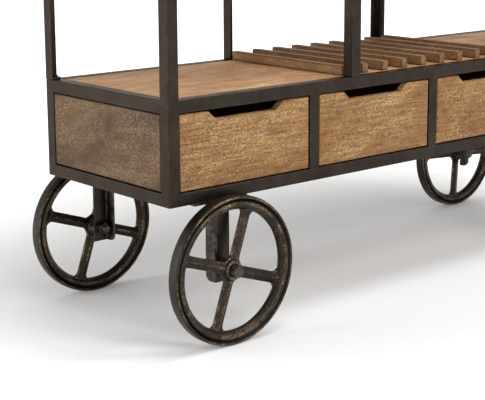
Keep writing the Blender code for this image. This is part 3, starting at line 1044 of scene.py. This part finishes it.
def spunProfile(bm, outline, segments, closed):     # (radius, y) pairs turned about the Y axis
    verts = [bm.verts.new((radius, y, 0.0)) for radius, y in outline]
    pairs = list(zip(verts, verts[1:])) + ([(verts[-1], verts[0])] if closed else [])
    edges = [bm.edges.new(pair) for pair in pairs]
    bmesh.ops.spin(bm, geom=verts + edges, cent=(0, 0, 0), axis=(0, 1, 0), dvec=(0, 0, 0),
                   angle=2 * math.pi, steps=segments, use_merge=True)


def outward(facing):        # the shapes are made for a front corner, whose outside is -Y
    return Matrix.Rotation(0.0 if facing < 0 else math.pi, 4, "Z")


def stubAxle(corner, axle):
    node = f"axle_{corner}"
    facing = -1 if corner.startswith("front") else 1
    shape = axleShape
    end = -(shape["standoff"] + shape["proud"])
    hub = -(shape["standoff"] - shape["hubEnd"])
    chamfer, bar, collar, stud = shape["chamfer"], shape["bar"], shape["collar"], shape["stud"]
    ease, bevelled = shape["collarEase"], chamfer * 0.3
    outline = [(0.0, end), (bar - chamfer, end), (bar - bevelled, end + bevelled), (bar, end + chamfer),
               (bar, hub), (collar - ease, hub), (collar, hub + ease),
               (collar, -hair - ease), (collar - ease, -hair), (stud, -hair)]
    y = leg["wall"] + hair + shape["nutHeight"] - shape["threadEnds"]
    while y < shape["reach"] - shape["threadEnds"]:
        outline += [(stud, y), (stud - shape["threadDepth"], y + shape["thread"] / 2)]
        y += shape["thread"]
    outline += [(stud - shape["tip"], shape["reach"]), (0.0, shape["reach"])]
    bm = startMesh("distance")
    spunProfile(bm, outline, shape["segments"], False)
    bmesh.ops.remove_doubles(bm, verts=bm.verts, dist=touch / 10)
    bmesh.ops.recalc_face_normals(bm, faces=bm.faces)
    # the lathe's rings need a few more circles on the flat end
    flat = [face for face in bm.faces if len(face.verts) == 3 and face.calc_center_median().y < end + touch]
    spokes = list({edge for face in flat for edge in face.edges if edge.calc_length() > bar / 2})
    bmesh.ops.subdivide_edges(bm, edges=spokes, cuts=3)
    distance = bm.verts.layers.float["distance"]
    for vert in bm.verts:
        vert[distance] = math.hypot(vert.co.x, vert.co.z)
    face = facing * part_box("base_end_frame_left")[1].y
    turn = Matrix.Translation((axle.x, face, axle.z)) @ outward(facing)
    placed(bm, turn)
    finishPiece(bm, pieceName(node), "turnedSteel", "cart", [node])
    nut = startMesh()
    hexBolt(nut, turn @ Vector((0, leg["wall"] + hair, 0)), turn.to_3x3() @ Vector((0, 1, 0)),
            shape["nutAcross"], shape["nutHeight"] * shape["headShare"], shape["washer"])
    markAll(nut, "worn", shape["nutWorn"])
    finishPiece(nut, pieceName(node) + "Nut", "boltSteel", "cart")


# Cast wheels

wheel = {
    "radius": 0.146,
    "halfWidth": 0.013,
    "segments": 216,
    "spokeHalf": 0.0113,
    "spokeReach": (0.0142, 0.1229),     # from inside the hub to inside the rim
    "spokeGrid": (56, 14),
    "ridge": 0.0082,        # height of the spoke's ridge above its middle
    "ridgeRise": 0.0016,    # the ridge climbs this much towards the hub and the rim
    "riseOut": (0.106, 0.122),
    "riseIn": (0.034, 0.016),
    "shoulder": 0.0024,
    "setIn": 0.004,         # of spokes and hub from the rim's middle
    "hub": 0.0198,
    "hubHalf": 0.011,
    "hubSegments": 64,
    "bore": 0.0118,
    "boreEase": 0.0008,
    "rimFillet": 0.0125,    # hollows where a spoke meets the rim and the hub
    "rimFilletFrom": 0.1189,        # distances from the axle at which the hollows end
    "rimFilletShare": 0.985,
    "hubFillet": 0.0095,
    "hubFilletFrom": 0.0170,
    "hubFilletShare": 0.90,
    "voxel": 0.00125,
    "smoothings": 2,
    "pitting": 0.00022,
    "pitsPerMetre": 330.0,
    "rubAndShadeLevel": 0.38,       # of a flat, and how much a crest adds to it; a hollow takes away and gets painted shade
    "rubAndShadeGain": 16.0,
    "rubSpread": 3,
    "sharpAngle": 60.0,
    "rest": {"front_left": 18.75, "front_right": -26.25, "rear_left": 18.75, "rear_right": 3.75},   # degrees
}


def castRim():
    radius, half = wheel["radius"], wheel["halfWidth"]
    face = [        # radius, half width, how rubbed (low values give painted shade, as in the groove), how much it is tread
        (radius, 0.0, 0.15, 1.0), (radius, 0.0045, 0.15, 1.0), (radius - 0.0001, 0.0088, 0.15, 1.0),
        (radius - 0.0006, half - 0.0024, 0.35, 0.8), (radius - 0.0019, half - 0.0008, 0.85, 0.2),
        (radius - 0.0035, half - 0.0001, 1.0, 0.0), (radius - 0.0050, half - 0.0002, 0.9, 0.0),
        (radius - 0.0062, half - 0.0018, 0.30, 0.0), (radius - 0.0073, half - 0.0052, 0.0, 0.0),
        (radius - 0.0090, half - 0.0058, 0.0, 0.0), (radius - 0.0106, half - 0.0034, 0.1, 0.0),
        (radius - 0.0126, half - 0.0013, 0.6, 0.0), (radius - 0.0156, half - 0.0004, 0.95, 0.0),
        (radius - 0.0186, half - 0.0009, 0.75, 0.0), (radius - 0.0214, half - 0.0026, 0.45, 0.0),
        (radius - 0.0240, half - 0.0052, 0.40, 0.0), (radius - 0.0260, half - 0.0083, 0.40, 0.0),
        (radius - 0.0273, 0.0024, 0.2, 0.0), (radius - 0.0276, 0.0, 0.1, 0.0),
    ]
    outline = face + [(r, -y, rub, tread) for r, y, rub, tread in reversed(face[1:-1])]
    bm = startMesh("rub", "tread")
    rubAndShadeLayer, treadLayer = bm.verts.layers.float["rub"], bm.verts.layers.float["tread"]
    spunProfile(bm, [(r, y) for r, y, rub, tread in outline], wheel["segments"], True)
    marks = {(round(r, 5), round(y, 5)): (rub, tread) for r, y, rub, tread in outline}
    for vert in bm.verts:
        key = (round(math.hypot(vert.co.x, vert.co.z), 5), round(vert.co.y, 5))
        vert[rubAndShadeLayer], vert[treadLayer] = marks[key]
    bmesh.ops.recalc_face_normals(bm, faces=bm.faces)
    return bm


def spokeHalfWidth(distance):       # straight sides with a hollow at each end
    width = wheel["spokeHalf"]
    for end, towards in (("rim", 1), ("hub", -1)):
        hollow = wheel[end + "Fillet"]
        start = wheel[end + "FilletFrom"] - towards * hollow
        run = min((distance - start) * towards, hollow * wheel[end + "FilletShare"])
        if run > 0:
            width += hollow - math.sqrt(hollow ** 2 - run ** 2)
    return width


def castSpoke(bm, turn):
    first, last = wheel["spokeReach"]
    outFrom, outTo = wheel["riseOut"]
    inFrom, inTo = wheel["riseIn"]
    along, over = wheel["spokeGrid"]
    grid = bmesh.ops.create_grid(bm, x_segments=along, y_segments=over, size=0.5)["verts"]
    for vert in grid:
        distance = first + (vert.co.x + 0.5) * (last - first)
        across = vert.co.y * 2
        nearEnd = max(0.0, (distance - outFrom) / (outTo - outFrom), (inFrom - distance) / (inFrom - inTo))
        ridge = wheel["ridge"] + wheel["ridgeRise"] * min(nearEnd, 1.0)
        height = wheel["shoulder"] + (ridge - wheel["shoulder"]) * (1 - abs(across))
        vert.co = Vector((distance, -height, across * spokeHalfWidth(distance)))
    front = list({face for vert in grid for face in vert.link_faces})
    copy = bmesh.ops.duplicate(bm, geom=grid + edgesOf(grid) + front)["geom"]
    back = [part for part in copy if isinstance(part, bmesh.types.BMVert)]
    bmesh.ops.scale(bm, vec=(1, -1, 1), verts=back)
    rims = [edge for edge in edgesOf(grid + back) if edge.is_boundary]
    bmesh.ops.bridge_loops(bm, edges=rims)
    bmesh.ops.transform(bm, matrix=turn, verts=grid + back)


def castHub(bm):
    bore, hub, half, ease = wheel["bore"], wheel["hub"], wheel["hubHalf"], wheel["boreEase"]
    face = [(bore, half - ease), (bore + ease, half), (hub - 0.0030, half), (hub - 0.0009, half - 0.0010),
            (hub, half - 0.0032)]
    spunProfile(bm, face + [(radius, -y) for radius, y in reversed(face)], wheel["hubSegments"], True)


def castSpider():       # spokes and hub run into each other as one casting
    raw = bmesh.new()
    for quarter in range(4):
        castSpoke(raw, Matrix.Rotation(quarter * math.pi / 2, 4, "Y"))
    castHub(raw)
    bmesh.ops.recalc_face_normals(raw, faces=raw.faces)
    bmesh.ops.translate(raw, vec=(0, wheel["setIn"], 0), verts=raw.verts)
    mesh = bpy.data.meshes.new("spiderPattern")
    raw.to_mesh(mesh)
    raw.free()
    pattern = bpy.data.objects.new("spiderPattern", mesh)
    bpy.context.scene.collection.objects.link(pattern)
    fuse = pattern.modifiers.new("fuse", "REMESH")
    fuse.mode = "VOXEL"
    fuse.voxel_size = wheel["voxel"]
    graph = bpy.context.evaluated_depsgraph_get()
    fused = bpy.data.meshes.new_from_object(pattern.evaluated_get(graph))
    bpy.data.objects.remove(pattern)
    bm = startMesh("rub", "tread")
    bm.from_mesh(fused)
    bpy.data.meshes.remove(fused)
    for _ in range(wheel["smoothings"]):
        bmesh.ops.smooth_vert(bm, verts=bm.verts, factor=0.5, use_axis_x=True, use_axis_y=True,
                              use_axis_z=True)
    bm.normal_update()
    crests = crestHeights(bm)
    rub = bm.verts.layers.float["rub"]
    for vert in bm.verts:
        # high on crests for rubbed bronze, low in hollows for painted shade
        vert[rub] = max(0.0, min(1.0, wheel["rubAndShadeLevel"] + crests[vert] * wheel["rubAndShadeGain"]))
        lump = noise.fractal(vert.co * wheel["pitsPerMetre"], 0.7, 2.1, 3)
        vert.co += vert.normal * (lump * wheel["pitting"])
    return bm


def crestHeights(bm):       # how far each point stands out from those around it, evened out a little
    crests = {}
    for vert in bm.verts:
        around = [edge.other_vert(vert).co for edge in vert.link_edges]
        mean = sum(around, Vector()) / len(around)
        crests[vert] = (vert.co - mean).dot(vert.normal) / wheel["voxel"]
    for _ in range(wheel["rubSpread"]):
        crests = {vert: (crests[vert] + sum(crests[edge.other_vert(vert)] for edge in vert.link_edges))
                  / (1 + len(vert.link_edges)) for vert in bm.verts}
    return crests


def joinInto(bm, other):
    mesh = bpy.data.meshes.new("part")
    other.to_mesh(mesh)
    other.free()
    bm.from_mesh(mesh)
    bpy.data.meshes.remove(mesh)


def castWheel():
    bm = castRim()
    joinInto(bm, castSpider())
    return bm


patternWheel = castWheel()
print("wheel cast:", len(patternWheel.faces), "faces")
for corner, rest in wheel["rest"].items():
    low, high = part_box(f"wheel_{corner}")
    facing = -1 if corner.startswith("front") else 1
    rimFace = low.y if facing < 0 else high.y
    centre = Vector(((low.x + high.x) / 2, rimFace - facing * wheel["halfWidth"], wheel["radius"]))
    cartLeg(corner, centre)
    stubAxle(corner, centre)
    node = f"wheel_{corner}"
    bm = patternWheel.copy()
    spun = Matrix.Rotation(math.radians(rest), 4, "Y")
    placed(bm, Matrix.Translation(centre) @ spun @ outward(facing))
    finishPiece(bm, pieceName(node), "castIron", node, [node], wheel["sharpAngle"])
patternWheel.free()
print("running gear made")
